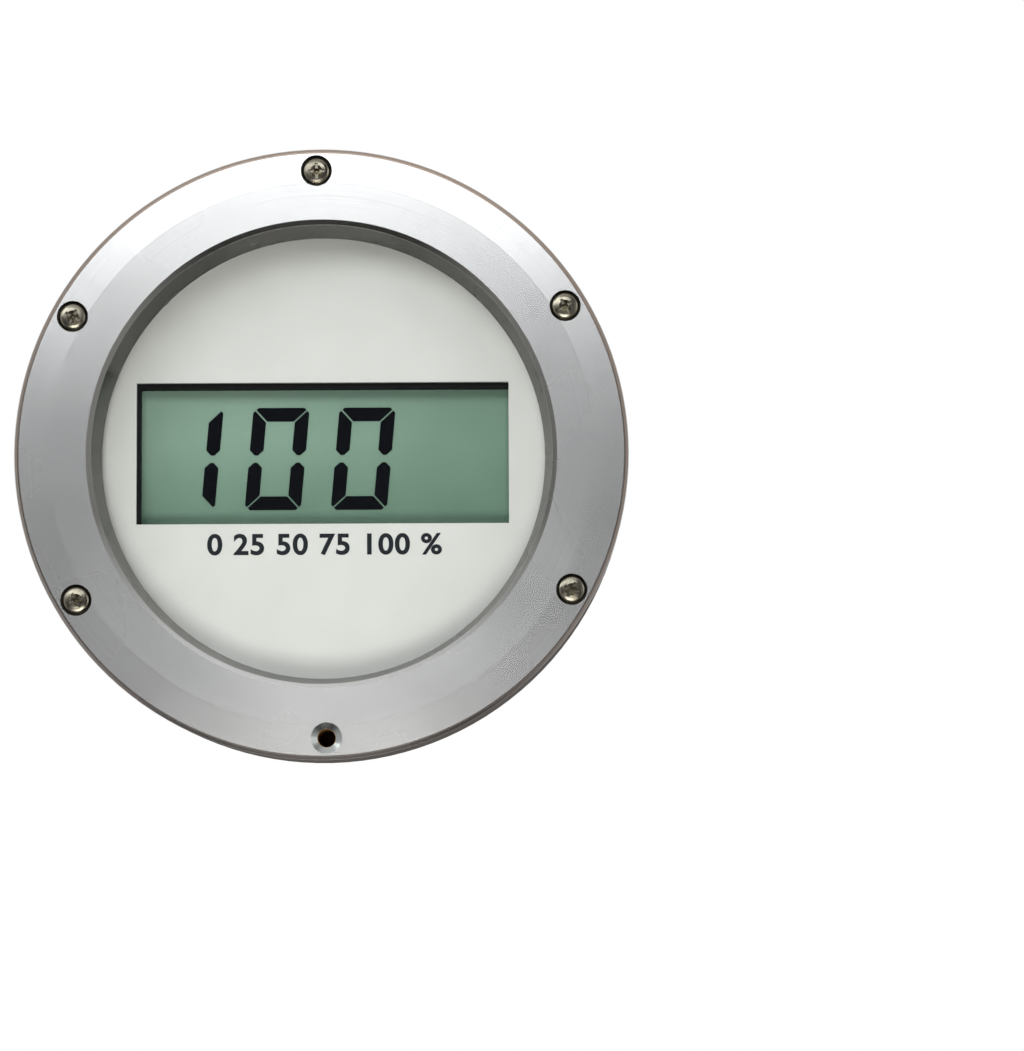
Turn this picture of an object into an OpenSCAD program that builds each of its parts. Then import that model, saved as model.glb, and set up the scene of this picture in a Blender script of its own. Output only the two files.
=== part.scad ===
// Round digital position readout for a panel, with a deep turned bezel and a liquid crystal display.
// Origin: centre of the panel seat. The display faces -Y and +Z is up.
// Modules draw along z, with z toward the reader, and facing_front() stands them upright.

/* [Bezel] */
// Thickness of the bezel ring
bezel_t = 16; // [14:0.1:20]
// Width of the flat outer land
land_w = 8.4; // [7.5:0.1:10]
// Width of the shallow band that slopes in from the land
slope_w = 9.4; // [7:0.1:11]
// Drop of that band from the land to the lip
slope_drop = 0.2; // [0.1:0.05:1]
// Width of the bright edge between the band and the wall
lip_edge = 1.1; // [0.5:0.1:2]
// How far the wall narrows from the lip edge to the window
wall_taper = 1.8; // [1.2:0.1:4]
// Chamfer round the rim
rim_chamfer = 0.8; // [0.3:0.1:1.5]

/* [Bezel screws] */
// Number of screw holes round the bezel, an even number
screw_holes = 6; // [4:2:8]
// The hole that has lost its screw, counted from the top
empty_hole_index = 3; // [0:1:3]
// Distance from the rim to the screw circle
screw_inset = 5.5; // [5.2:0.1:6.5]
// Turn of the screw pattern against the dial, in degrees
pattern_turn = 1; // [-3:0.1:3]
// Thread diameter of the bezel screws
screw_d = 4; // [3:0.1:4.5]
// Head diameter of the bezel screws
screw_head_d = 6.4; // [6:0.1:7]
// Play of the head in its countersink, on the diameter
countersink_play = 1.4; // [1:0.1:1.8]
// How far the head's rim lies below the land, which its dome rises back to
head_sink = 0.65; // [0.3:0.05:0.8]

/* [Window] */
// Thickness of the window
window_t = 3; // [2:0.1:4]
// How far the window reaches under the bezel, all round
window_bite = 8.5; // [7:0.1:9]
// Play round the window in its recess
window_play = 0.3; // [0.1:0.05:0.6]
// Thickness of the gasket in front of the window
window_gasket_t = 0.8; // [0.5:0.1:1.2]
// Width of that gasket
window_gasket_w = 5; // [3:0.1:6]
// Thickness of the cushion behind the window
cushion_t = 0.5; // [0.3:0.1:1]
// Section diameter of the case seal
o_ring_d = 1.5; // [1:0.1:1.8]

/* [Dial] */
// Thickness of the dial plate
dial_t = 1.5; // [1:0.1:2]
// How far the dial reaches under the bezel, all round
dial_margin = 5; // [4.5:0.1:6]
// Play of the dial in the case
dial_play = 0.5; // [0.2:0.1:1]
// Depth of the dial face below the case flange
dial_below = 0.5; // [0.3:0.1:1.5]
// Number of dial screws
dial_screws_n = 4; // [3:1:6]
// Thread diameter of the dial screws
dial_screw_d = 2; // [1.6:0.1:2.5]
// Width of the cut-out at each side of the digit cells
display_side = 3.3; // [2.5:0.1:6]
// Height of the cut-out above and below the digits
display_edge = 4.9; // [3.5:0.1:8]
// Distance from the cut-out's farthest corner to the bezel's wall
display_clear = 4.21; // [3:0.01:12]
// Height of the cut-out's centre above the dial's centre
display_up = 1.7; // [0:0.1:4]
// Distance of the cut-out's centre to the left of the dial's centre
display_left = 0.5; // [0:0.1:2]

/* [Display] */
// What the display reads
reading = 100; // [0:1:199]
// Depth from the dial face to the glass
lcd_depth = 5; // [4:0.1:10]
// How far the display sits to the right of its cut-out, which shows its black frame at the left
frame_right = 0.9; // [0:0.1:1.5]
// How far the display sits below its cut-out, which shows its black frame at the top
frame_down = 1.4; // [0:0.1:2]
// Wall of the black frame round the glass
frame_wall = 1.5; // [1:0.1:2]
// How far the glass reaches past the frame's opening, all round
glass_bite = 1.9; // [1.5:0.1:2.5]
// Thickness of each glass plate
glass_t = 1.1; // [0.7:0.1:1.5]
// Thickness of the segment layer
segment_t = 0.2; // [0.1:0.05:0.4]
// Thickness of the reflector
reflector_t = 0.2; // [0.1:0.05:0.4]
// Height of a digit
digit_h = 26; // [20:0.1:30]
// Width of a digit
digit_w = 14.2; // [12:0.1:16]
// Width of a segment's stroke
stroke = 3.45; // [2.5:0.05:4]
// Distance between digits
digit_pitch = 21.8; // [19:0.1:23]
// Lean of the digits, in degrees
digit_lean = 5; // [0:0.5:10]
// Gap at the mitred joints
mitre_gap = 0.55; // [0.3:0.05:0.8]
// Gap between the upper and lower strokes
middle_gap = 1.9; // [1:0.1:3]
// Bevel at the digit's outer corners
corner_bevel = 1.3; // [0.5:0.1:1.8]
// Height of the digits' centre above the display's centre
digits_up = 0.6; // [0:0.1:2]
// Shift of the four digit cells to the left of the display's centre
digits_left = 1.8; // [0:0.1:4]

/* [Board] */
// Length of the standoffs between the dial and the board
standoff_l = 18.5; // [16:0.1:24]
// Width of the standoffs across their flats
standoff_af = 5.5; // [5:0.1:6]
// Screw diameter of the board screws
board_screw_d = 3; // [2.5:0.1:3.5]
// Thickness of the circuit board
board_t = 1.6; // [1:0.1:2]
// Gap between the board's edge and the dial ledge
board_gap = 2; // [1:0.1:4]
// Pins in each row of the display
pins_per_row = 20; // [16:1:24]
// Distance between the display's pins
pin_pitch = 2.54; // [2:0.01:3]
// Diameter of a pin
pin_d = 0.5; // [0.4:0.05:0.6]

/* [Case] */
// Depth of the case behind the panel
case_depth = 60; // [52:0.5:90]
// Wall of the case
case_wall = 4; // [3:0.1:4.5]
// Thickness of the case flange
flange_t = 5; // [4:0.1:8]
// Thickness of the ledge that carries the dial
ledge_t = 6; // [4:0.1:9]
// Width of that ledge
ledge_w = 5.5; // [4.6:0.1:5.8]
// Diameter of the bosses for the rear cover screws
boss_d = 10; // [8:0.1:12]
// Length of those bosses
boss_l = 14; // [12:0.5:18]
// Thickness of the rear cover
cover_t = 4; // [3:0.1:6]
// Thickness of the rear gasket
rear_gasket_t = 1; // [0.5:0.1:2]
// Thread diameter of the cover screws and the earth screw
cover_screw_d = 4; // [3:0.1:5]
// Distance of the earth screw from the cover's centre
earth_r = 38; // [32:0.5:44]

/* [Panel mount] */
// Thickness of the gasket against the panel
panel_gasket_t = 1.5; // [1:0.1:3]
// Diameter of the mounting studs
stud_d = 5; // [4.4:0.1:6]
// Diameter of the studs' roots in the flange
stud_root_d = 4; // [3:0.1:4.2]
// Length of the studs behind the panel's face
stud_l = 20; // [14:0.5:30]

/* [Cable gland] */
// Thread diameter of the gland
gland_d = 20; // [18:0.1:22]
// How far the gland's hexagons stand out past its thread, across their flats
gland_flats = 4; // [4:0.1:8]
// Largest cable that the gland's insert takes
cable_d = 8; // [6:0.1:9]
// Thickness of the gland's hexagon
gland_hex_t = 7; // [5:0.1:9]
// Length of the gland's outer collar
collar_l = 12; // [10:0.1:15]
// Length of the rubber insert
insert_l = 10; // [8:0.1:10]

/* [Hidden] */
$fn = 96;
small_fn = 32;
pin_fn = 16;
over = 0.5;
thread_play = 0.1;
hole_play = 0.4;

// The dial's cut-out, sized for four digit cells
digit_cells_n = 4;
display_w = digit_cells_n * digit_pitch + 2 * display_side;
display_h = digit_h + 2 * display_edge;

// Radii, from the dial's opening outward and back in
opening_r = norm([display_w / 2 + display_left, display_h / 2 + display_up]) + display_clear;
wall_top_r = opening_r + wall_taper;
lip_r = wall_top_r + lip_edge;
land_r = lip_r + slope_w;
bezel_r = land_r + land_w;
screw_circle_r = bezel_r - screw_inset;
window_r = opening_r + window_bite;
recess_r = window_r + window_play;
dial_r = opening_r + dial_margin;
bore_r = dial_r + dial_play;
case_r = bore_r + case_wall;
ledge_r = bore_r - ledge_w;
board_r = ledge_r - board_gap;
screw_hole_r = (screw_d + hole_play) / 2;
countersink_r = (screw_head_d + countersink_play) / 2;
stud_count = screw_holes / 2;
stud_turn = 180 / screw_holes;
o_ring_r = (recess_r + screw_circle_r - screw_hole_r) / 2;
tapped_floor = 1;
boss_circle_r = bore_r - boss_d / 2 + over;
dial_screw_circle_r = (dial_r + ledge_r) / 2;

// Levels along z, with the panel's face at zero
z_flange_rear = panel_gasket_t;
z_flange = z_flange_rear + flange_t;
z_tapped = z_flange_rear + tapped_floor;
z_screw_end = z_tapped + over;
z_land = z_flange + bezel_t;
z_lip = z_land - slope_drop;
z_window = z_flange + cushion_t;
z_recess = z_window + window_t + window_gasket_t;
z_dial = z_flange - dial_below;
z_ledge = z_dial - dial_t;
z_glass = z_dial - lcd_depth;
z_segments = z_glass - glass_t - segment_t;
z_rear_glass = z_segments - glass_t;
z_reflector = z_rear_glass - reflector_t;
z_frame_rear = z_reflector - over;
z_board = z_ledge - standoff_l;
z_board_rear = z_board - board_t;
z_rear = -case_depth;
z_cover_in = z_rear - rear_gasket_t;
z_cover = z_cover_in - cover_t;

// Display sizes
cutout_place = [-display_left, display_up, 0];
lcd_place = cutout_place + [frame_right, -frame_down, 0];
glass_w = display_w + 2 * glass_bite;
glass_h = display_h + 2 * glass_bite;
glass_play = 0.4;
frame_w = glass_w + glass_play + 2 * frame_wall;
frame_h = glass_h + glass_play + 2 * frame_wall;
frame_corner_r = 4;
pin_inset = 0.8;
pin_row_y = glass_h / 2 - pin_inset;
reflector_h = glass_h - 4 * pin_inset - pin_d;
socket_w = 2.4;
socket_l = 6;
socket_hole_play = 0.2;
pin_tip_gap = 1;

// Segments lit for each digit
LIT = ["abcdef", "bc", "abdeg", "abcdg", "bcfg", "acdfg", "acdefg", "abc", "abcdefg", "abcdfg"];

// Small fasteners
tip_chamfer = 0.3;
pan_head_ratio = 2;
pan_height_ratio = 0.62;
recess_reach = 0.31;
recess_slot = 0.12;
recess_slot_depth = 0.14;
recess_dish_r = 0.25;
recess_dish_depth = 0.24;
dial_screw_head_d = dial_screw_d * 1.9;
dial_screw_l = ledge_t / 2 + dial_t;
dial_screw_raise = 0.05;
dial_screw_turn = 45;
cover_screws_n = 4;
cover_screw_turn = 45;
cover_screw_reach = 12;
cover_screw_l = cover_t + rear_gasket_t + cover_screw_reach - 2 * over;
earth_washer_t = 0.8;
earth_washer_w = 2.6;
gasket_edge = 1;

// Board and the parts on it
standoff_angle = 47;
standoff_edge = 4.5;
standoff_circle_r = board_r - standoff_edge;
board_screw_l = 8;
leg_count = 20;
leg_pitch = 2.54;
chip_size = [(leg_count + 0.5) * leg_pitch, 13.7, 3.8];
chip_up = 14;
chip_lift = 0.6;
chip_notch_r = 1.4;
leg_size = [0.5, 0.3];
cap_d = 8;
cap_l = 11;
cap_vent = [5.6, 0.3, 0.4];
cap_places = [[-30, -6], [-19, -6], [-8, -6]];
trimmer_size = [9.5, 4.8, 10];
trimmer_screw_d = 2.4;
trimmer_screw_h = 1.2;
trimmer_slot = [0.5, 1];
trimmer_places = [[14, -6], [28, -6]];
terminal_count = 3;
terminal_pitch = 5.08;
terminal_size = [8.4, 10];
terminal_down = 30;
terminal_screw_d = 3.4;
terminal_screw_h = 2.1;
terminal_slot = [0.6, 1.2];
terminal_well_l = 3;
wire_entry = [3.2, 2.8];
wire_entry_l = 4;

// Gland sizes
gland_af = gland_d + gland_flats;
gland_play = 0.1;
gland_seal_t = 1.5;
gland_seal_w = 2;
locknut_t = 5;
locknut_flats = 6;
gland_wall = 2.6;
gland_bore_r = gland_d / 2 - gland_wall;
collar_step = 0.6;
dome_edge = 1.8;
gland_nut_gap = 0.6;
gland_dome = 3.2;
nut_open_play = 1.2;
gland_nut_open_r = cable_d / 2 + nut_open_play;
z_gland = z_cover - gland_seal_t;
z_collar = z_gland - gland_hex_t;
z_collar_end = z_collar - collar_l;
z_nut_end = z_collar_end - gland_dome;

// Shared shapes

module facing_front() rotate([90, 0, 0]) children();

// Children set at equal steps round the axis, the first at the top
module around(r, count, turn = 0)
    for (i = [0:count - 1]) rotate(90 + turn + i * 360 / count) translate([r, 0, 0]) children();

module ring(r_out, r_in, z, t)
    translate([0, 0, z]) linear_extrude(t) difference() {
        circle(r_out);
        circle(r_in);
    }

module rounded_block(w, h, r, t)
    linear_extrude(t) {
        square([w - 2 * r, h], center = true);
        square([w, h - 2 * r], center = true);
        for (x = [-1, 1], y = [-1, 1])
            translate([x * (w / 2 - r), y * (h / 2 - r)]) circle(r, $fn = small_fn);
    }

module block(w, h, t) linear_extrude(t) square([w, h], center = true);

function hex_r(af) = af / 2 / cos(30);

// Points of a shallow dome from its rim at radius r to its top at height h
function dome(r, h, steps = 6) =
    [for (i = [0:steps]) [r * cos(90 * i / steps), h * sin(90 * i / steps)]];

// Cross slots round a pointed dish, which is cut from below to as far above the head
module cross_recess(head_d) {
    reach = head_d * recess_reach;
    slot = head_d * recess_slot;
    slot_depth = head_d * recess_slot_depth;
    dish_depth = head_d * recess_dish_depth;
    tip_r = slot / 4;
    for (a = [0, 90]) rotate(a)
        translate([-reach, -slot / 2, -slot_depth]) cube([2 * reach, slot, 2 * slot_depth]);
    translate([0, 0, -dish_depth])
        cylinder(r1 = tip_r, r2 = 2 * head_d * recess_dish_r - tip_r, h = 2 * dish_depth, $fn = small_fn);
}

// Countersunk screw with a slightly raised head, its rim at z = 0 and its shank below
module countersunk_screw(head_d, d, l, raise) {
    r = d / 2;
    head_r = head_d / 2;
    cone = head_r - r;
    difference() {
        rotate_extrude($fn = small_fn) polygon(concat(
            [[0, -l], [r - tip_chamfer, -l], [r, -l + tip_chamfer], [r, -cone]],
            dome(head_r, raise)));
        translate([0, 0, raise]) cross_recess(head_d);
    }
}

// Pan-head screw with the underside of its head at z = 0 and its shank below
module pan_screw(d, l) {
    head_r = d * pan_head_ratio / 2;
    head_h = d * pan_height_ratio;
    difference() {
        rotate_extrude($fn = small_fn) polygon(concat(
            [[0, -l], [d / 2, -l], [d / 2, 0], [head_r, 0]],
            [for (p = dome(head_r, head_h / 2)) [p[0], p[1] + head_h / 2]]));
        translate([0, 0, head_h]) cross_recess(d * pan_head_ratio);
    }
}

// Bezel and its screws

module bezel() {
    depth = countersink_r - screw_hole_r;
    color("silver") facing_front() difference() {
        rotate_extrude() polygon([
            [bezel_r, z_flange],
            [bezel_r, z_land - rim_chamfer],
            [bezel_r - rim_chamfer, z_land],
            [land_r, z_land],
            [lip_r, z_lip],
            [wall_top_r, z_lip - lip_edge],
            [opening_r, z_recess],
            [recess_r, z_recess],
            [recess_r, z_flange]]);
        around(screw_circle_r, screw_holes, pattern_turn) {
            translate([0, 0, z_flange - over]) cylinder(r = screw_hole_r, h = bezel_t + 2 * over);
            translate([0, 0, z_land - depth])
                cylinder(r1 = screw_hole_r, r2 = countersink_r + over, h = depth + over);
        }
    }
}

module bezel_screws() {
    z_head = z_land - head_sink;
    color("dimgray") facing_front()
        for (i = [0:screw_holes - 1]) if (i != empty_hole_index)
            rotate(90 + pattern_turn + i * 360 / screw_holes) translate([screw_circle_r, 0, z_head])
                countersunk_screw(screw_head_d, screw_d, z_head - z_screw_end, head_sink);
}

// Window and seals

module window_gasket()
    color("black") facing_front()
        ring(window_r, window_r - window_gasket_w, z_window + window_t, window_gasket_t);

module window()
    color("lightcyan", 0.3) facing_front()
        translate([0, 0, z_window]) cylinder(r = window_r, h = window_t);

module window_cushion()
    color("black") facing_front() ring(window_r, bore_r, z_flange, cushion_t);

module case_o_ring()
    color("black") facing_front() translate([0, 0, z_flange - o_ring_d / 2])
        rotate_extrude() translate([o_ring_r, 0]) circle(d = o_ring_d, $fn = small_fn);

// Case

module case_profile()
    rotate_extrude() polygon([
        [bore_r, z_flange],
        [bezel_r, z_flange],
        [bezel_r, z_flange_rear],
        [case_r, z_flange_rear],
        [case_r, z_rear - over],
        [bore_r, z_rear - over],
        [bore_r, z_ledge - ledge_t],
        [ledge_r, z_ledge - ledge_t],
        [ledge_r, z_ledge],
        [bore_r, z_ledge]]);

module case_body() {
    groove_t = o_ring_d;
    groove_w = o_ring_d + thread_play;
    tapped = thread_play / 2;
    color("gainsboro") facing_front() difference() {
        union() {
            case_profile();
            around(boss_circle_r, cover_screws_n, cover_screw_turn)
                translate([0, 0, z_rear - over]) cylinder(d = boss_d, h = boss_l + over);
        }
        translate([0, 0, z_rear - 2 * over]) cylinder(r = case_r + over, h = 2 * over);
        ring(o_ring_r + groove_w / 2, o_ring_r - groove_w / 2, z_flange - groove_t, groove_t + over);
        around(screw_circle_r, screw_holes, pattern_turn)
            translate([0, 0, z_tapped]) cylinder(r = screw_d / 2 + tapped, h = flange_t);
        around(screw_circle_r, stud_count, stud_turn)
            translate([0, 0, z_flange_rear - over])
                cylinder(r = stud_root_d / 2 + tapped, h = flange_t);
        around(dial_screw_circle_r, dial_screws_n, dial_screw_turn)
            translate([0, 0, z_ledge - ledge_t / 2 - over])
                cylinder(r = dial_screw_d / 2 + tapped, h = ledge_t, $fn = small_fn);
        around(boss_circle_r, cover_screws_n, cover_screw_turn)
            translate([0, 0, z_rear - 2 * over])
                cylinder(r = cover_screw_d / 2 + tapped, h = cover_screw_reach + 2 * over, $fn = small_fn);
    }
}

// Panel mount

module panel_gasket()
    color("black") facing_front() difference() {
        ring(bezel_r - gasket_edge, case_r + gasket_edge, 0, panel_gasket_t);
        around(screw_circle_r, stud_count, stud_turn)
            translate([0, 0, -over]) cylinder(r = (stud_d + hole_play) / 2, h = panel_gasket_t + 2 * over);
    }

module panel_studs() {
    r = stud_d / 2;
    root_r = stud_root_d / 2;
    root_l = panel_gasket_t + flange_t - 2 * over;
    color("silver") facing_front() around(screw_circle_r, stud_count, stud_turn)
        rotate_extrude() polygon([
            [0, -stud_l],
            [r - tip_chamfer, -stud_l],
            [r, -stud_l + tip_chamfer],
            [r, 0],
            [root_r, 0],
            [root_r, root_l],
            [0, root_l]]);
}

// Dial

module dial_plate() {
    hole_r = (dial_screw_d + thread_play) / 2;
    sink_r = (dial_screw_head_d + thread_play) / 2;
    sink = sink_r - hole_r;
    color("gainsboro") facing_front() difference() {
        translate([0, 0, z_ledge]) cylinder(r = dial_r, h = dial_t);
        translate(cutout_place + [0, 0, z_ledge - over]) block(display_w, display_h, dial_t + 2 * over);
        around(dial_screw_circle_r, dial_screws_n, dial_screw_turn) {
            translate([0, 0, z_ledge - over]) cylinder(r = hole_r, h = dial_t + 2 * over, $fn = small_fn);
            translate([0, 0, z_dial - sink])
                cylinder(r1 = hole_r, r2 = sink_r + over, h = sink + over, $fn = small_fn);
        }
    }
}

module dial_screws()
    color("silver") facing_front() around(dial_screw_circle_r, dial_screws_n, dial_screw_turn)
        translate([0, 0, z_dial])
            countersunk_screw(dial_screw_head_d, dial_screw_d, dial_screw_l, dial_screw_raise);

// Display

module lcd_frame()
    color([0.08, 0.08, 0.09]) facing_front() translate(lcd_place) difference() {
        translate([0, 0, z_frame_rear])
            rounded_block(frame_w, frame_h, frame_corner_r, z_ledge - z_frame_rear);
        translate([0, 0, z_frame_rear - over])
            block(display_w, display_h, z_ledge - z_frame_rear + 2 * over);
        translate([0, 0, z_frame_rear - over])
            block(glass_w + glass_play, glass_h + glass_play, z_glass - z_frame_rear + over);
    }

module lcd_front_glass()
    color("darkseagreen", 0.4) facing_front()
        translate(lcd_place + [0, 0, z_glass - glass_t]) block(glass_w, glass_h, glass_t);

module lcd_rear_glass()
    color("darkseagreen", 0.6) facing_front()
        translate(lcd_place + [0, 0, z_rear_glass]) block(glass_w, glass_h, glass_t);

module lcd_reflector()
    color("darkseagreen") facing_front()
        translate(lcd_place + [0, 0, z_reflector]) block(glass_w, reflector_h, reflector_t);

// One stroke of a digit as points in its upright cell, before the lean
function side_stroke() = [
    [0, digit_h / 2 + middle_gap / 2 + corner_bevel],
    [corner_bevel, digit_h / 2 + middle_gap / 2],
    [stroke - corner_bevel, digit_h / 2 + middle_gap / 2],
    [stroke, digit_h / 2 + middle_gap / 2 + corner_bevel],
    [stroke, digit_h - stroke - mitre_gap / 2],
    [(corner_bevel - mitre_gap / 2) / 2, digit_h - (corner_bevel + mitre_gap / 2) / 2],
    [0, digit_h - corner_bevel]];
function end_stroke() = [
    [stroke + mitre_gap / 2, digit_h - stroke],
    [digit_w - stroke - mitre_gap / 2, digit_h - stroke],
    [digit_w - (corner_bevel + mitre_gap / 2) / 2, digit_h - (corner_bevel - mitre_gap / 2) / 2],
    [digit_w - corner_bevel, digit_h],
    [corner_bevel, digit_h],
    [(corner_bevel + mitre_gap / 2) / 2, digit_h - (corner_bevel - mitre_gap / 2) / 2]];
function middle_stroke() = [
    [stroke / 2 + mitre_gap, digit_h / 2],
    [stroke + mitre_gap, digit_h / 2 - stroke / 2],
    [digit_w - stroke - mitre_gap, digit_h / 2 - stroke / 2],
    [digit_w - stroke / 2 - mitre_gap, digit_h / 2],
    [digit_w - stroke - mitre_gap, digit_h / 2 + stroke / 2],
    [stroke + mitre_gap, digit_h / 2 + stroke / 2]];
function flip_x(points) = [for (p = points) [digit_w - p[0], p[1]]];
function flip_y(points) = [for (p = points) [p[0], digit_h - p[1]]];
function leaned(points) = [for (p = points) [p[0] + (p[1] - digit_h / 2) * tan(digit_lean), p[1]]];

STROKES = [
    ["a", end_stroke()],
    ["b", flip_x(side_stroke())],
    ["c", flip_y(flip_x(side_stroke()))],
    ["d", flip_y(end_stroke())],
    ["e", flip_y(side_stroke())],
    ["f", side_stroke()],
    ["g", middle_stroke()]];

module digit(value)
    for (s = STROKES) if (len(search(s[0], LIT[value])) > 0)
        linear_extrude(segment_t) polygon(leaned(s[1]));

// Left edge of the cell for a decimal place; the fourth cell, right of the units, stays dark
function cell_x(place) = (0.5 - place) * digit_pitch - digit_w / 2 - digits_left;

// The cells for hundreds, tens and units, with leading noughts dark
module lcd_segments()
    color("midnightblue") facing_front() translate(lcd_place + [0, 0, z_segments])
        for (place = [0:2]) {
            value = floor(reading / pow(10, place)) % 10;
            if (place == 0 || reading >= pow(10, place))
                translate([cell_x(place), digits_up - digit_h / 2]) digit(value);
        }

// Display connections

// Children set side by side along x, centred on the axis
module row(count, pitch)
    for (i = [0:count - 1]) translate([(i - (count - 1) / 2) * pitch, 0, 0]) children();

module lcd_pins()
    color("goldenrod") facing_front() for (side = [-1, 1])
        translate(lcd_place + [0, side * pin_row_y, z_board + pin_tip_gap]) row(pins_per_row, pin_pitch)
            cylinder(d = pin_d, h = z_rear_glass - z_board - pin_tip_gap, $fn = pin_fn);

module pin_sockets() {
    strip = pins_per_row * pin_pitch;
    color([0.1, 0.1, 0.1]) facing_front() for (side = [-1, 1])
        translate(lcd_place + [0, side * pin_row_y, z_board]) difference() {
            block(strip, socket_w, socket_l);
            translate([0, 0, pin_tip_gap / 2]) row(pins_per_row, pin_pitch)
                cylinder(d = pin_d + socket_hole_play, h = socket_l, $fn = pin_fn);
        }
}

// Board

module standoff_places()
    for (x = [-1, 1], y = [-1, 1])
        translate(standoff_circle_r * [x * cos(standoff_angle), y * sin(standoff_angle), 0]) children();

module display_board()
    color("darkgreen") facing_front() difference() {
        translate([0, 0, z_board_rear]) cylinder(r = board_r, h = board_t);
        standoff_places() translate([0, 0, z_board_rear - over])
            cylinder(r = (board_screw_d + hole_play) / 2, h = board_t + 2 * over, $fn = small_fn);
    }

module board_standoffs()
    color("gold") facing_front() standoff_places() difference() {
        translate([0, 0, z_board]) cylinder(r = hex_r(standoff_af), h = standoff_l, $fn = 6);
        translate([0, 0, z_board - over])
            cylinder(d = board_screw_d + thread_play, h = board_screw_l + over, $fn = small_fn);
    }

module board_screws()
    color("silver") facing_front() standoff_places()
        translate([0, 0, z_board_rear]) mirror([0, 0, 1]) pan_screw(board_screw_d, board_screw_l);

// Parts soldered to the rear of the board, each drawn downward from the board
module on_board_rear(x, y) translate([x, y, z_board_rear]) mirror([0, 0, 1]) children();

module driver_chip()
    color([0.12, 0.12, 0.13]) facing_front() on_board_rear(0, chip_up) {
        difference() {
            translate([0, 0, chip_lift]) block(chip_size[0], chip_size[1], chip_size[2]);
            translate([-chip_size[0] / 2, 0, chip_lift + chip_size[2] / 2])
                cylinder(r = chip_notch_r, h = chip_size[2], $fn = small_fn);
        }
        for (side = [-1, 1]) translate([0, side * (chip_size[1] + leg_size[1]) / 2, 0])
            row(leg_count, leg_pitch) block(leg_size[0], leg_size[1], chip_lift + chip_size[2] / 2);
    }

module capacitors()
    color("steelblue") facing_front() for (p = cap_places) on_board_rear(p[0], p[1])
        difference() {
            cylinder(d = cap_d, h = cap_l);
            for (a = [0, 90]) rotate(a) translate([0, 0, cap_l]) cube(cap_vent, center = true);
        }

module trimmers()
    color("royalblue") facing_front() for (p = trimmer_places) on_board_rear(p[0], p[1]) {
        block(trimmer_size[0], trimmer_size[1], trimmer_size[2]);
        translate([trimmer_size[0] / 4, 0, trimmer_size[2]]) difference() {
            cylinder(d = trimmer_screw_d, h = trimmer_screw_h, $fn = small_fn);
            translate([0, 0, trimmer_screw_h])
                cube([trimmer_screw_d * 2, trimmer_slot[0], trimmer_slot[1]], center = true);
        }
    }

module terminal_block()
    color("forestgreen") facing_front() on_board_rear(0, -terminal_down) difference() {
        block(terminal_count * terminal_pitch, terminal_size[0], terminal_size[1]);
        row(terminal_count, terminal_pitch) {
            translate([0, 0, terminal_size[1] - terminal_well_l])
                cylinder(d = terminal_screw_d + hole_play, h = terminal_well_l + over, $fn = small_fn);
            translate([0, -terminal_size[0] / 2, wire_entry[1]])
                cube([wire_entry[0], wire_entry_l * 2, wire_entry[1]], center = true);
        }
    }

module terminal_screws()
    color("silver") facing_front() on_board_rear(0, -terminal_down) row(terminal_count, terminal_pitch)
        translate([0, 0, terminal_size[1] - terminal_well_l]) difference() {
            cylinder(d = terminal_screw_d, h = terminal_screw_h, $fn = small_fn);
            translate([0, 0, terminal_screw_h])
                cube([terminal_screw_d * 2, terminal_slot[0], terminal_slot[1]], center = true);
        }

// Rear cover

module rear_gasket()
    color("black") facing_front() difference() {
        union() {
            ring(case_r, bore_r, z_cover_in, rear_gasket_t);
            around(boss_circle_r, cover_screws_n, cover_screw_turn)
                translate([0, 0, z_cover_in]) cylinder(d = boss_d, h = rear_gasket_t);
        }
        cover_screw_holes(z_cover_in, rear_gasket_t);
    }

module cover_screw_holes(z, t)
    around(boss_circle_r, cover_screws_n, cover_screw_turn) translate([0, 0, z - over])
        cylinder(r = (cover_screw_d + hole_play) / 2, h = t + 2 * over, $fn = small_fn);

module rear_cover()
    color("gainsboro") facing_front() difference() {
        rotate_extrude() polygon([
            [0, z_cover_in],
            [case_r, z_cover_in],
            [case_r, z_cover + rim_chamfer],
            [case_r - rim_chamfer, z_cover],
            [0, z_cover]]);
        cover_screw_holes(z_cover, cover_t);
        translate([0, 0, z_cover - over]) cylinder(r = gland_d / 2 + gland_play, h = cover_t + 2 * over);
        translate([0, -earth_r, z_cover - over])
            cylinder(d = cover_screw_d + thread_play, h = cover_t + 2 * over, $fn = small_fn);
    }

module cover_screws()
    color("silver") facing_front() around(boss_circle_r, cover_screws_n, cover_screw_turn)
        translate([0, 0, z_cover]) mirror([0, 0, 1]) pan_screw(cover_screw_d, cover_screw_l);

module earth_washer()
    color("goldenrod") facing_front() translate([0, -earth_r, 0])
        ring(cover_screw_d / 2 + earth_washer_w, (cover_screw_d + thread_play) / 2,
            z_cover - earth_washer_t, earth_washer_t);

module earth_screw()
    color("goldenrod") facing_front() translate([0, -earth_r, z_cover - earth_washer_t])
        mirror([0, 0, 1]) pan_screw(cover_screw_d, cover_t + 2 * over);

// Cable gland

module gland_seal()
    color("black") facing_front()
        ring(gland_d / 2 + gland_seal_w, gland_d / 2 + gland_play, z_gland, gland_seal_t);

module gland_body()
    color([0.15, 0.15, 0.16]) facing_front() difference() {
        union() {
            translate([0, 0, z_collar]) cylinder(r = hex_r(gland_af), h = gland_hex_t, $fn = 6);
            translate([0, 0, z_collar])
                cylinder(d = gland_d, h = z_cover_in + locknut_t + 2 * over - z_collar);
            translate([0, 0, z_collar_end]) cylinder(r = gland_d / 2 - collar_step, h = collar_l + over);
        }
        translate([0, 0, z_collar_end - over])
            cylinder(r = gland_bore_r, h = z_cover_in + locknut_t + 4 * over - z_collar_end);
    }

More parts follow.
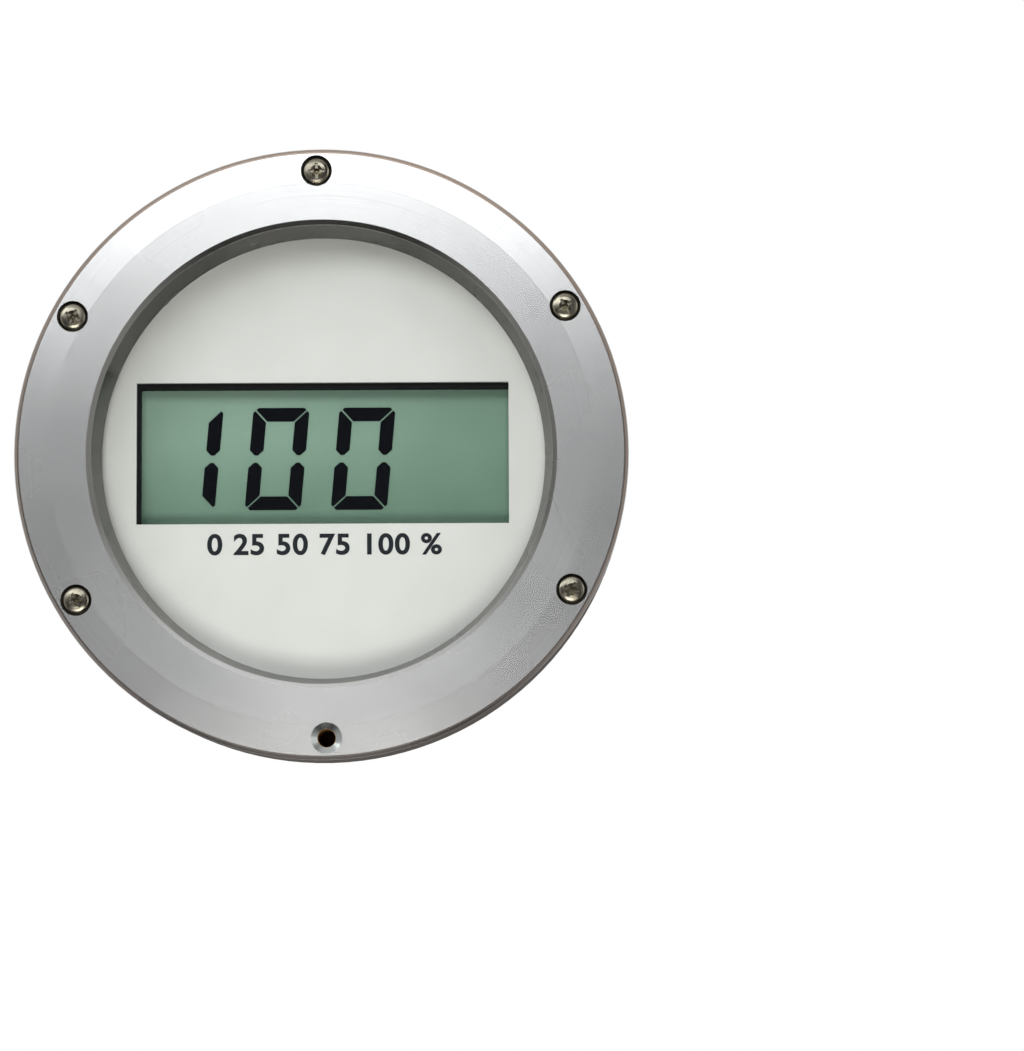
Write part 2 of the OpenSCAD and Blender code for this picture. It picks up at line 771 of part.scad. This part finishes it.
module gland_locknut()
    color([0.15, 0.15, 0.16]) facing_front() translate([0, 0, z_cover_in]) difference() {
        cylinder(r = hex_r(gland_d + locknut_flats), h = locknut_t, $fn = 6);
        translate([0, 0, -over]) cylinder(r = (gland_d + gland_play) / 2, h = locknut_t + 2 * over);
    }

module gland_insert()
    color("dimgray") facing_front()
        ring(gland_bore_r - gland_play / 2, cable_d / 2, z_collar_end, insert_l);

module gland_nut() {
    collar_r = gland_d / 2 - collar_step + gland_play / 2;
    dome_r = gland_af / 2 - dome_edge;
    color([0.15, 0.15, 0.16]) facing_front() difference() {
        union() {
            translate([0, 0, z_collar_end])
                cylinder(r = hex_r(gland_af), h = collar_l - gland_nut_gap, $fn = 6);
            translate([0, 0, z_collar_end]) mirror([0, 0, 1]) rotate_extrude()
                polygon(concat([[0, 0], [dome_r, 0]],
                    [for (p = dome(dome_r - gland_nut_open_r, gland_dome)) [p[0] + gland_nut_open_r, p[1]]],
                    [[0, gland_dome]]));
        }
        translate([0, 0, z_collar_end]) cylinder(r = collar_r, h = collar_l);
        translate([0, 0, z_nut_end - over]) cylinder(r = gland_nut_open_r, h = gland_dome + 2 * over);
    }
}

bezel();
bezel_screws();
window_gasket();
window();
window_cushion();
case_o_ring();
case_body();  // case
panel_gasket();
panel_studs();
dial_plate();
dial_screws();
lcd_frame();
lcd_front_glass();
lcd_segments();
lcd_rear_glass();
lcd_reflector();
lcd_pins();
pin_sockets();
display_board();
board_standoffs();
board_screws();
driver_chip();
capacitors();
trimmers();
terminal_block();
terminal_screws();
rear_gasket();
rear_cover();
cover_screws();
earth_screw();
earth_washer();
gland_body();
gland_seal();
gland_locknut();
gland_insert();
gland_nut();
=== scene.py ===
"""Looks of the round digital readout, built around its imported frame.

Metres. The display faces -Y and +Z is up; the origin is the centre of the panel's face.
"""

from math import cos, pi, radians, sin

import bmesh
import bpy
from mathutils import Euler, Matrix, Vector


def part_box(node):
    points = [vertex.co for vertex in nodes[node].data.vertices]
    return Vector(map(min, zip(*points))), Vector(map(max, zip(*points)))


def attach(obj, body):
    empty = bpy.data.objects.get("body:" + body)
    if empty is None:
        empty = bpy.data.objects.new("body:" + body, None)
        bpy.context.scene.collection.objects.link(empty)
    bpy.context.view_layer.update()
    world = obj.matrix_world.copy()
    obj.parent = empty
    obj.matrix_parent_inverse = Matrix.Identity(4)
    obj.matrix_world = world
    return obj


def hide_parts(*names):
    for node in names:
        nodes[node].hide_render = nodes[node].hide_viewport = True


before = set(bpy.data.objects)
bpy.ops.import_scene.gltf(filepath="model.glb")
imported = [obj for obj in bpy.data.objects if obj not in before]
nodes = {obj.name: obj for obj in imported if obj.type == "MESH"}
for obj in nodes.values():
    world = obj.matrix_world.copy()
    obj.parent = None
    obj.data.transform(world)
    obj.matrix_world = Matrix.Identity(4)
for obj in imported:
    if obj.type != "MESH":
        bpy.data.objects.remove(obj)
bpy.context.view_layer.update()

MM = 0.001

# Bezel: its zones by radius, its screw holes, and the painted shade low on its side
BEZEL_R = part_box("bezel")[1].x
LIP_R = BEZEL_R - 17.8 * MM
LIP_EDGE = 1.1 * MM
RIM_EDGE = 1.2 * MM
ZONE_EDGE = 0.08 * MM
SCREW_HOLES = 6
SCREW_TURN = 91
EMPTY_HOLE = 3
SCREW_CIRCLE_R = BEZEL_R - 5.5 * MM
SINK_R = 3.88 * MM
BORE_R = 2.3 * MM
SIDE_SKIN = 0.12 * MM
# Painted shade low on the bezel's outer side: its dark colour, and the heights (shares of the radius) over
# which it fades in towards the bottom
SIDE_SHADE_COLOUR = (0.11, 0.097, 0.085)
SIDE_SHADE_HEIGHTS = (-0.15, -0.5)
SIDE_ROUGHER = 0.45

# Turned metal
GROOVE = 0.8 * MM
STAIN_SCALE = 45.0
MARK_SCALE = 300.0
STAIN_SHADE = 0.94
MARK_SHADE = 0.88
ROUGH_SPREAD = 0.016
RELIEF = 0.001 * MM
# Tilt of the zones' painted light and shade towards the right
SHADE_LEAN = 0.25

# Thread on the panel studs
STUDS = 3
THREAD_PITCH = 0.8 * MM
THREAD_DEPTH = 0.45 * MM
THREAD_START = 1.2 * MM
THREAD_ROWS = 8
THREAD_SIDES = 36
STUD_R = 2.5 * MM
STUD_ROOT_R = 2.0 * MM
STUD_TIP = 0.4 * MM

# Camera, fitted to the photograph's outlines
CAMERA_PLACE = (47.9 * MM, -1000 * MM, -108.8 * MM)
CAMERA_TURN = (95.284, 0.259, 0.068)
FOCAL_PX = 3970.5
IMAGE_W_PX = 1024
SENSOR_MM = 36

# Legend on the dial
LEGEND = "0 25 50 75 100 %"
LEGEND_W = 59 * MM
LEGEND_CAP_H = 5.5 * MM
LEGEND_BELOW = 21.4 * MM
LEGEND_THICK = 0.06 * MM
LEGEND_BOLD = 0.025
LEGEND_SPACE = 1.07

# Light
ROOM_LOW = (0.04, 0.04, 0.04)
CEILING = (1.1, 1.1, 1.1)
CEILING_FADE = (0.5, 0.85)
WALLS = (0.75, 0.75, 0.75)
WALLS_FADE = (0.5, 0.85)
KEY = dict(elevation=24.6, azimuth=-21, far=1.3, size=(1.57, 0.45), watts=9.0, colour=(0.965, 0.985, 1.0))
LOW = dict(elevation=-25, azimuth=0, far=1.2, size=(0.5, 0.3), watts=5.4, colour=(1.0, 0.985, 0.945))
SIDE = dict(elevation=8, azimuth=50, far=1.2, size=(0.6, 0.6), watts=1.2, colour=(1.0, 1.0, 1.0))

# Stage
FLOOR_Z = -0.5
FLOOR_R = 0.55
FLOOR_BACK = 0.5
FLOOR_FADE = (0.25, 0.5)


def add(tree, kind, inputs=None, **props):
    """Adds a node, sets its properties, and sets or links its inputs."""
    node = tree.nodes.new(kind)
    for key, value in props.items():
        setattr(node, key, value)
    for key, value in (inputs or {}).items():
        if isinstance(value, bpy.types.NodeSocket):
            tree.links.new(value, node.inputs[key])
        else:
            node.inputs[key].default_value = value
    return node


def new_material(name):
    material = bpy.data.materials.new(name)
    material.use_nodes = True
    material.node_tree.nodes.clear()
    return material, material.node_tree


def finish_material(tree, shader_socket):
    add(tree, "ShaderNodeOutputMaterial", {"Surface": shader_socket})


def place(tree):
    return add(tree, "ShaderNodeTexCoord").outputs["Object"]


def math(tree, operation, a, b=0.0, clamp=False):
    return add(tree, "ShaderNodeMath", {0: a, 1: b}, operation=operation, use_clamp=clamp).outputs[0]


def noise(tree, scale, detail=3.0, vector=None, dims="3D"):
    inputs = {"Scale": scale, "Detail": detail}
    if dims == "1D":
        inputs["W"] = vector
    else:
        inputs["Vector"] = vector if vector is not None else place(tree)
    return add(tree, "ShaderNodeTexNoise", inputs, noise_dimensions=dims).outputs["Fac"]


def remap(tree, value, low, high, to_low, to_high):
    inputs = {"Value": value, "From Min": low, "From Max": high, "To Min": to_low, "To Max": to_high}
    return add(tree, "ShaderNodeMapRange", inputs).outputs["Result"]


def blend(tree, factor, colour_a, colour_b):
    node = add(tree, "ShaderNodeMix", data_type="RGBA")
    for index, value in ((0, factor), (6, colour_a), (7, colour_b)):
        if isinstance(value, bpy.types.NodeSocket):
            tree.links.new(value, node.inputs[index])
        elif index == 0:
            node.inputs[index].default_value = value
        else:
            node.inputs[index].default_value = (*value[:3], 1.0)
    return node.outputs[2]


def bump(tree, height, distance, normal=None):
    inputs = {"Height": height, "Distance": distance, "Strength": 1.0}
    if normal is not None:
        inputs["Normal"] = normal
    return add(tree, "ShaderNodeBump", inputs).outputs["Normal"]


def hypot(tree, a, b):
    """The length of a vector with these two components."""
    squares = math(tree, "ADD", math(tree, "MULTIPLY", a, a), math(tree, "MULTIPLY", b, b))
    return math(tree, "SQRT", squares)


def radius(tree):
    """Distance from the readout's axis."""
    xyz = add(tree, "ShaderNodeSeparateXYZ", {"Vector": place(tree)})
    return hypot(tree, xyz.outputs["X"], xyz.outputs["Z"])


def hole_places(indices):
    """Centres of the bezel's screw holes as (x, z)."""
    turns = [radians(SCREW_TURN + i * 360 / SCREW_HOLES) for i in indices]
    return [(SCREW_CIRCLE_R * cos(a), SCREW_CIRCLE_R * sin(a)) for a in turns]


def away(tree, places):
    """Distance from the nearest of these (x, z) places."""
    xyz = add(tree, "ShaderNodeSeparateXYZ", {"Vector": place(tree)})
    nearest = BEZEL_R
    for x, z in places:
        dx = math(tree, "SUBTRACT", xyz.outputs["X"], x)
        dz = math(tree, "SUBTRACT", xyz.outputs["Z"], z)
        nearest = math(tree, "MINIMUM", nearest, hypot(tree, dx, dz))
    return nearest


def shaded(colour, share):
    return tuple(c * share for c in colour)


def turned_metal(name, colour, roughness, anisotropy, zones=(), spots=(), worn=()):
    """Metal turned about the readout's axis, with faint rings, stains and marks in its colour.

    Each zone is (inner radius, outer radius, lower colour, upper colour): a ring of other colours, graded
    from the lower left to the upper right, or between the two heights that may follow; where its two
    colours differ, the grade is painted light and shade.
    Each spot is (places, reach, colour, metallic): the same for what lies near these places.
    The flanks of the worn places, each (places, reach, slope), look flatter by this slope.
    """
    material, tree = new_material(name)
    r = radius(tree)
    stains = remap(tree, noise(tree, STAIN_SCALE, 5.0), 0.35, 0.7, 0.0, 1.0)
    fine = remap(tree, noise(tree, MARK_SCALE, 6.0), 0.5, 0.8, 0.0, 0.5)
    rings = remap(tree, noise(tree, 1 / GROOVE, 1.0, r, "1D"), 0.4, 0.75, 0.0, 0.5)
    base = blend(tree, stains, colour, shaded(colour, STAIN_SHADE))
    base = blend(tree, math(tree, "ADD", rings, fine), base, shaded(colour, MARK_SHADE))
    xyz = add(tree, "ShaderNodeSeparateXYZ", {"Vector": place(tree)})
    # Painted light and shade: 0 at the lower left, 1 at the upper right, for grading the zones
    lit = math(tree, "ADD", xyz.outputs["Z"], math(tree, "MULTIPLY", xyz.outputs["X"], SHADE_LEAN))
    lit = remap(tree, lit, -BEZEL_R, BEZEL_R, 0.0, 1.0)
    for inner, outer, low, high, *heights in zones:
        after = remap(tree, r, inner - ZONE_EDGE, inner + ZONE_EDGE, 0.0, 1.0)
        before = remap(tree, r, outer - ZONE_EDGE, outer + ZONE_EDGE, 1.0, 0.0)
        up = remap(tree, xyz.outputs["Z"], *heights, 0.0, 1.0) if heights else lit
        base = blend(tree, math(tree, "MULTIPLY", after, before), base, blend(tree, up, low, high))
    metallic = 1.0
    for places, reach, spot_colour, spot_metallic in spots:
        here = math(tree, "LESS_THAN", away(tree, places), reach)
        base = blend(tree, here, base, spot_colour)
        metallic = math(tree, "MINIMUM", metallic, remap(tree, here, 0.0, 1.0, 1.0, spot_metallic))
    waves = noise(tree, STAIN_SCALE, 0.0)
    rough = remap(tree, waves, 0.0, 1.0, roughness - ROUGH_SPREAD, roughness + ROUGH_SPREAD)
    relief = bump(tree, waves, RELIEF)
    for places, reach, slope in worn:
        flank = math(tree, "MULTIPLY", math(tree, "MINIMUM", away(tree, places), reach), -slope)
        relief = bump(tree, flank, 1.0, normal=relief)
    # Painted shade: low on the outer side the metal turns to a dark, dull, rougher colour that darkens
    # towards the bottom
    side = remap(tree, r, BEZEL_R - SIDE_SKIN, BEZEL_R - SIDE_SKIN / 2, 0.0, 1.0)
    heights = [share * BEZEL_R for share in SIDE_SHADE_HEIGHTS]
    under = remap(tree, xyz.outputs["Z"], *heights, 0.0, 1.0)
    side = math(tree, "MULTIPLY", side, under)
    base = blend(tree, side, base, SIDE_SHADE_COLOUR)
    rough = math(tree, "ADD", rough, math(tree, "MULTIPLY", side, SIDE_ROUGHER))
    metallic = math(tree, "SUBTRACT", metallic, side, clamp=True)
    shader = add(tree, "ShaderNodeBsdfPrincipled", {
        "Base Color": base, "Metallic": metallic, "Roughness": rough, "Specular IOR Level": 0.1,
        "Anisotropic": anisotropy, "Anisotropic Rotation": 0.25, "Normal": relief,
        "Tangent": add(tree, "ShaderNodeTangent", direction_type="RADIAL", axis="Y").outputs[0]})
    finish_material(tree, shader.outputs[0])
    return material


def plain_metal(name, colour, roughness):
    material, tree = new_material(name)
    stains = noise(tree, 300.0, 4.0)
    base = blend(tree, remap(tree, stains, 0.35, 0.7, 0.0, 1.0), colour, shaded(colour, 0.7))
    rough = remap(tree, stains, 0.3, 0.7, roughness - 0.08, roughness + 0.1)
    relief = bump(tree, noise(tree, 2500.0, 3.0), 0.00001)
    shader = add(tree, "ShaderNodeBsdfPrincipled", {
        "Base Color": base, "Metallic": 1.0, "Roughness": rough, "Normal": relief})
    finish_material(tree, shader.outputs[0])
    return material


def solid_colour(name, colour, roughness, grain=1200.0, depth=0.00002, spread=0.12, shine=0.5):
    material, tree = new_material(name)
    patches = noise(tree, grain / 12, 3.0)
    base = blend(tree, remap(tree, patches, 0.3, 0.7, 0.0, 1.0), colour, shaded(colour, 1 - spread))
    rough = remap(tree, patches, 0.3, 0.7, roughness - 0.05, roughness + 0.05)
    relief = bump(tree, noise(tree, grain, 3.0), depth)
    shader = add(tree, "ShaderNodeBsdfPrincipled", {
        "Base Color": base, "Roughness": rough, "Specular IOR Level": shine, "Normal": relief})
    finish_material(tree, shader.outputs[0])
    return material


def display_green(name, bright, dull):
    """The display's grey-green ground, with painted shade that darkens it to the lower right."""
    material, tree = new_material(name)
    low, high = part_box("lcd_reflector")
    xyz = add(tree, "ShaderNodeSeparateXYZ", {"Vector": place(tree)})
    size = high - low
    across = remap(tree, xyz.outputs["X"], low.x + size.x * 0.25, high.x, 1.0, 0.45)
    down = remap(tree, xyz.outputs["Z"], low.z + size.z * 0.65, low.z + size.z * 0.12, 0.9, 0.2)
    shade = math(tree, "SUBTRACT", 1.0, math(tree, "MULTIPLY", across, down))
    cloud = remap(tree, noise(tree, 60.0, 3.0), 0.3, 0.7, -0.06, 0.06)
    base = blend(tree, math(tree, "ADD", shade, cloud, clamp=True), bright, dull)
    relief = bump(tree, noise(tree, 6000.0, 2.0), 0.000004)
    shader = add(tree, "ShaderNodeBsdfPrincipled", {"Base Color": base, "Roughness": 0.5, "Normal": relief})
    finish_material(tree, shader.outputs[0])
    return material


def clear_pane(name, tint, gloss):
    """Glass or clear plastic that lamps shine through: tinted transparency under a Fresnel gloss."""
    material, tree = new_material(name)
    through = add(tree, "ShaderNodeBsdfTransparent", {"Color": (*tint, 1.0)})
    mirror = add(tree, "ShaderNodeBsdfGlossy", {"Roughness": gloss})
    fresnel = add(tree, "ShaderNodeFresnel", {"IOR": 1.45}).outputs[0]
    inside = add(tree, "ShaderNodeNewGeometry").outputs["Backfacing"]
    share = math(tree, "MULTIPLY", fresnel, math(tree, "SUBTRACT", 1.0, inside))
    both = add(tree, "ShaderNodeMixShader", {0: share, 1: through.outputs[0], 2: mirror.outputs[0]})
    finish_material(tree, both.outputs[0])
    return material


def dress(names, material):
    for name in names:
        slots = nodes[name].data.materials
        slots.clear()
        slots.append(material)


BEZEL_ALU = turned_metal("bezel_aluminium", (0.82, 0.82, 0.82), 0.27, 0.43, zones=[
    # The wall inside the lip: dark grey, with painted shade that darkens it towards the upper right
    (0.0, LIP_R - LIP_EDGE, (0.098, 0.093, 0.084), (0.0215, 0.019, 0.0125)),
    # The lip's chamfer: a painted highlight, white at the bottom, and painted shade above it
    (LIP_R - LIP_EDGE, LIP_R, (1.0, 1.0, 1.0), (0.25, 0.245, 0.23), -0.77 * BEZEL_R, -0.2 * BEZEL_R),
    # The rim's chamfer: brown-grey painted shade, darker towards the lower left
    (BEZEL_R - RIM_EDGE, BEZEL_R - SIDE_SKIN, (0.24, 0.215, 0.20), (0.30, 0.24, 0.20)),
    (BEZEL_R - SIDE_SKIN, 1.0, (0.58, 0.58, 0.57), (0.58, 0.58, 0.57))], spots=[
    # Painted shade: near-black countersinks around the screw heads
    (hole_places([i for i in range(SCREW_HOLES) if i != EMPTY_HOLE]), SINK_R, (0.03, 0.027, 0.022), 1.0),
    # Painted shade: a darker grey in the empty countersink
    (hole_places([EMPTY_HOLE]), SINK_R, (0.36, 0.38, 0.37), 1.0),
    # Painted brown in the empty bore, standing for a brown table seen through the hole, not the metal's
    # colour
    (hole_places([EMPTY_HOLE]), BORE_R, (0.30, 0.17, 0.06), 0.0)], worn=[
    (hole_places([EMPTY_HOLE]), SINK_R, 0.42)])
CASE_ALU = turned_metal("case_aluminium", (0.62, 0.63, 0.64), 0.42, 0.6, spots=[
    # Painted brown in the screw holes, standing for a brown table seen through the hole, not the metal's
    # colour
    (hole_places(range(SCREW_HOLES)), BORE_R, (0.30, 0.17, 0.06), 0.0)])
DARK_STEEL = plain_metal("dark_steel", (0.26, 0.24, 0.19), 0.25)
ZINC_STEEL = plain_metal("zinc_steel", (0.62, 0.62, 0.60), 0.32)
BRASS = plain_metal("brass", (0.80, 0.62, 0.28), 0.3)
RUBBER = solid_colour("seal_rubber", (0.035, 0.035, 0.036), 0.7)
NYLON = solid_colour("black_nylon", (0.030, 0.030, 0.032), 0.42)
BLACK_FRAME = solid_colour("black_frame", (0.010, 0.010, 0.011), 0.7, shine=0.1)
DIAL_WHITE = solid_colour("dial_white", (0.83, 0.83, 0.805), 0.6, spread=0.04, shine=0.2)
LCD_GREEN = display_green("lcd_reflector", (0.43, 0.55, 0.52), (0.19, 0.29, 0.25))
LCD_INK = solid_colour("lcd_ink", (0.004, 0.004, 0.009), 0.6, shine=0.05)
LEGEND_INK = solid_colour("legend_ink", (0.020, 0.024, 0.030), 0.6, shine=0.1)
SOLDER_MASK = solid_colour("solder_mask", (0.03, 0.18, 0.07), 0.35)
CHIP_EPOXY = solid_colour("chip_epoxy", (0.03, 0.03, 0.032), 0.55)
BLUE_SLEEVE = solid_colour("blue_sleeve", (0.05, 0.12, 0.33), 0.35)
TERMINAL_GREEN = solid_colour("terminal_green", (0.05, 0.28, 0.08), 0.45)
WINDOW_CLEAR = clear_pane("window_clear", (0.985, 0.99, 0.985), 0.03)
LCD_CLEAR = clear_pane("lcd_clear", (0.93, 0.97, 0.93), 0.06)

dress(["bezel"], BEZEL_ALU)
dress(["case", "rear_cover"], CASE_ALU)
dress(["bezel_screws"], DARK_STEEL)
dress(["panel_studs", "dial_screws", "board_screws", "terminal_screws", "cover_screws"], ZINC_STEEL)
dress(["earth_screw", "earth_washer", "lcd_pins", "board_standoffs"], BRASS)
dress(["window_gasket", "window_cushion", "case_o_ring", "panel_gasket", "rear_gasket", "gland_seal",
       "gland_insert"], RUBBER)
dress(["gland_body", "gland_locknut", "gland_nut"], NYLON)
dress(["lcd_frame", "pin_sockets"], BLACK_FRAME)
dress(["dial_plate"], DIAL_WHITE)
dress(["lcd_rear_glass", "lcd_reflector"], LCD_GREEN)
dress(["lcd_segments"], LCD_INK)
dress(["display_board"], SOLDER_MASK)
dress(["driver_chip"], CHIP_EPOXY)
dress(["capacitors", "trimmers"], BLUE_SLEEVE)
dress(["terminal_block"], TERMINAL_GREEN)
dress(["window"], WINDOW_CLEAR)
dress(["lcd_front_glass"], LCD_CLEAR)


def stud_radius(y, turn, tip_y):
    """Radius of a stud at y behind the panel's face: root, then a thread up to the tip's chamfer."""
    if y < 0:
        return STUD_ROOT_R
    phase = (y / THREAD_PITCH + turn / (2 * pi)) % 1.0
    fade = min(1.0, max(0.0, (y - THREAD_START) / THREAD_PITCH))
    cut = THREAD_DEPTH * fade * abs(2 * phase - 1)
    return min(STUD_R - cut, STUD_R - STUD_TIP + (tip_y - y))


def make_studs():
    """The panel studs again, with their thread: the same places, length and outer diameter."""
    low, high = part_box("panel_studs")
    step = THREAD_PITCH / THREAD_ROWS
    rows = [low.y] + [i * step for i in range(int(high.y / step))] + [high.y]
    turns = [2 * pi * i / THREAD_SIDES for i in range(THREAD_SIDES)]
    bm = bmesh.new()
    for stud in range(STUDS):
        around = radians(360 / STUDS * stud)
        x, z = SCREW_CIRCLE_R * cos(around), SCREW_CIRCLE_R * sin(around)
        loops = []
        for y in rows:
            radii = [stud_radius(y, turn, high.y) for turn in turns]
            points = [(x + r * cos(a), y, z + r * sin(a)) for r, a in zip(radii, turns)]
            loops.append([bm.verts.new(point) for point in points])
        for near, far in zip(loops, loops[1:]):
            for i in range(THREAD_SIDES):
                bm.faces.new((near[i], near[i - 1], far[i - 1], far[i]))
        bm.faces.new(loops[0])
        bm.faces.new(reversed(loops[-1]))
    bmesh.ops.recalc_face_normals(bm, faces=bm.faces)
    mesh = bpy.data.meshes.new("threaded_studs")
    bm.to_mesh(mesh)
    bm.free()
    studs = bpy.data.objects.new("threaded_studs", mesh)
    bpy.context.scene.collection.objects.link(studs)
    mesh.materials.append(ZINC_STEEL)
    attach(studs, "root")
    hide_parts("panel_studs")


def make_legend():
    """A printed line of plain percent numbers, as raised ink on the dial under the display."""
    curve = bpy.data.curves.new("legend", "FONT")
    curve.body = LEGEND
    curve.align_x = "CENTER"
    curve.extrude = LEGEND_THICK / 2
    curve.offset = LEGEND_BOLD
    curve.space_character = LEGEND_SPACE
    text = bpy.data.objects.new("legend_text", curve)
    bpy.context.scene.collection.objects.link(text)
    bpy.context.view_layer.update()
    mesh = bpy.data.meshes.new_from_object(text.evaluated_get(bpy.context.evaluated_depsgraph_get()))
    bpy.data.objects.remove(text)
    legend = bpy.data.objects.new("legend", mesh)
    bpy.context.scene.collection.objects.link(legend)
    points = [v.co for v in mesh.vertices]
    low = Vector(min(p[i] for p in points) for i in range(3))
    high = Vector(max(p[i] for p in points) for i in range(3))
    dial_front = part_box("dial_plate")[0].y
    middle = (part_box("dial_plate")[0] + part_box("dial_plate")[1]) / 2
    for v in mesh.vertices:
        x = (v.co.x - (low.x + high.x) / 2) * LEGEND_W / (high.x - low.x)
        z = (v.co.y - (low.y + high.y) / 2) * LEGEND_CAP_H / (high.y - low.y)
        y = dial_front - (v.co.z - low.z)
        v.co = (middle.x + x, y, middle.z - LEGEND_BELOW + z)
    mesh.materials.append(LEGEND_INK)
    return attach(legend, "root")


def make_floor():
    """A pale disc that keeps the shadow near the readout and is plain white farther out."""
    bpy.ops.mesh.primitive_circle_add(
        vertices=96, radius=FLOOR_R, fill_type="NGON", location=(0, FLOOR_BACK, FLOOR_Z))
    floor = bpy.context.object
    floor.name = "floor"
    material, tree = new_material("floor_pale")
    xyz = add(tree, "ShaderNodeSeparateXYZ", {"Vector": place(tree)})
    far = hypot(tree, xyz.outputs["X"], xyz.outputs["Y"])
    fade = remap(tree, far, *FLOOR_FADE, 0.0, 1.0)
    lit = add(tree, "ShaderNodeBsdfDiffuse", {"Color": (0.9, 0.9, 0.9, 1.0)})
    white = add(tree, "ShaderNodeEmission", {"Color": (1, 1, 1, 1), "Strength": 1.0})
    seen = math(tree, "MULTIPLY", add(tree, "ShaderNodeLightPath").outputs["Is Camera Ray"], fade)
    mixed = add(tree, "ShaderNodeMixShader", {0: seen, 1: lit.outputs[0], 2: white.outputs[0]})
    finish_material(tree, mixed.outputs[0])
    floor.data.materials.append(material)


def make_world():
    """A soft room: dim in front, pale walls and ceiling, white behind the readout and to the camera."""
    world = bpy.data.worlds.new("studio")
    bpy.context.scene.world = world
    world.use_nodes = True
    tree = world.node_tree
    tree.nodes.clear()
    direction = add(tree, "ShaderNodeTexCoord").outputs["Generated"]
    xyz = add(tree, "ShaderNodeSeparateXYZ", {"Vector": direction})
    sideways = math(tree, "ABSOLUTE", xyz.outputs["X"])
    room = blend(tree, remap(tree, sideways, *WALLS_FADE, 0.0, 1.0), ROOM_LOW, WALLS)
    room = blend(tree, remap(tree, xyz.outputs["Z"], *CEILING_FADE, 0.0, 1.0), room, CEILING)
    path = add(tree, "ShaderNodeLightPath")
    mirrored = math(tree, "MAXIMUM", path.outputs["Is Glossy Ray"], path.outputs["Is Transmission Ray"])
    behind = remap(tree, xyz.outputs["Y"], 0.0, 0.3, 0.0, 1.0)
    seen = math(tree, "MAXIMUM", path.outputs["Is Camera Ray"], math(tree, "MULTIPLY", mirrored, behind))
    colour = blend(tree, seen, room, (1.0, 1.0, 1.0))
    background = add(tree, "ShaderNodeBackground", {"Color": colour, "Strength": 1.0})
    add(tree, "ShaderNodeOutputWorld", {"Surface": background.outputs[0]})


def area_light(name, elevation, azimuth, far, size, watts, colour):
    """A lamp in front of the readout, turned to face it; azimuth is towards +X."""
    lamp = bpy.data.lights.new(name, "AREA")
    lamp.shape = "RECTANGLE"
    lamp.size, lamp.size_y = size
    lamp.energy = watts
    lamp.color = colour
    lamp_object = bpy.data.objects.new(name, lamp)
    turn = Euler((radians(90 - elevation), 0, radians(azimuth)))
    lamp_object.location = turn.to_matrix() @ Vector((0, 0, far))
    lamp_object.rotation_euler = turn
    bpy.context.scene.collection.objects.link(lamp_object)


def make_camera():
    camera = bpy.data.cameras.new("camera")
    camera.sensor_fit = "HORIZONTAL"
    camera.sensor_width = SENSOR_MM
    camera.lens = FOCAL_PX * SENSOR_MM / IMAGE_W_PX
    camera_object = bpy.data.objects.new("camera", camera)
    camera_object.location = CAMERA_PLACE
    camera_object.rotation_euler = [radians(a) for a in CAMERA_TURN]
    bpy.context.scene.collection.objects.link(camera_object)
    bpy.context.scene.camera = camera_object


make_studs()
make_legend()
make_floor()
make_world()
area_light("key", **KEY)
area_light("low", **LOW)
area_light("side", **SIDE)
make_camera()
bpy.context.scene.view_settings.view_transform = "Standard"
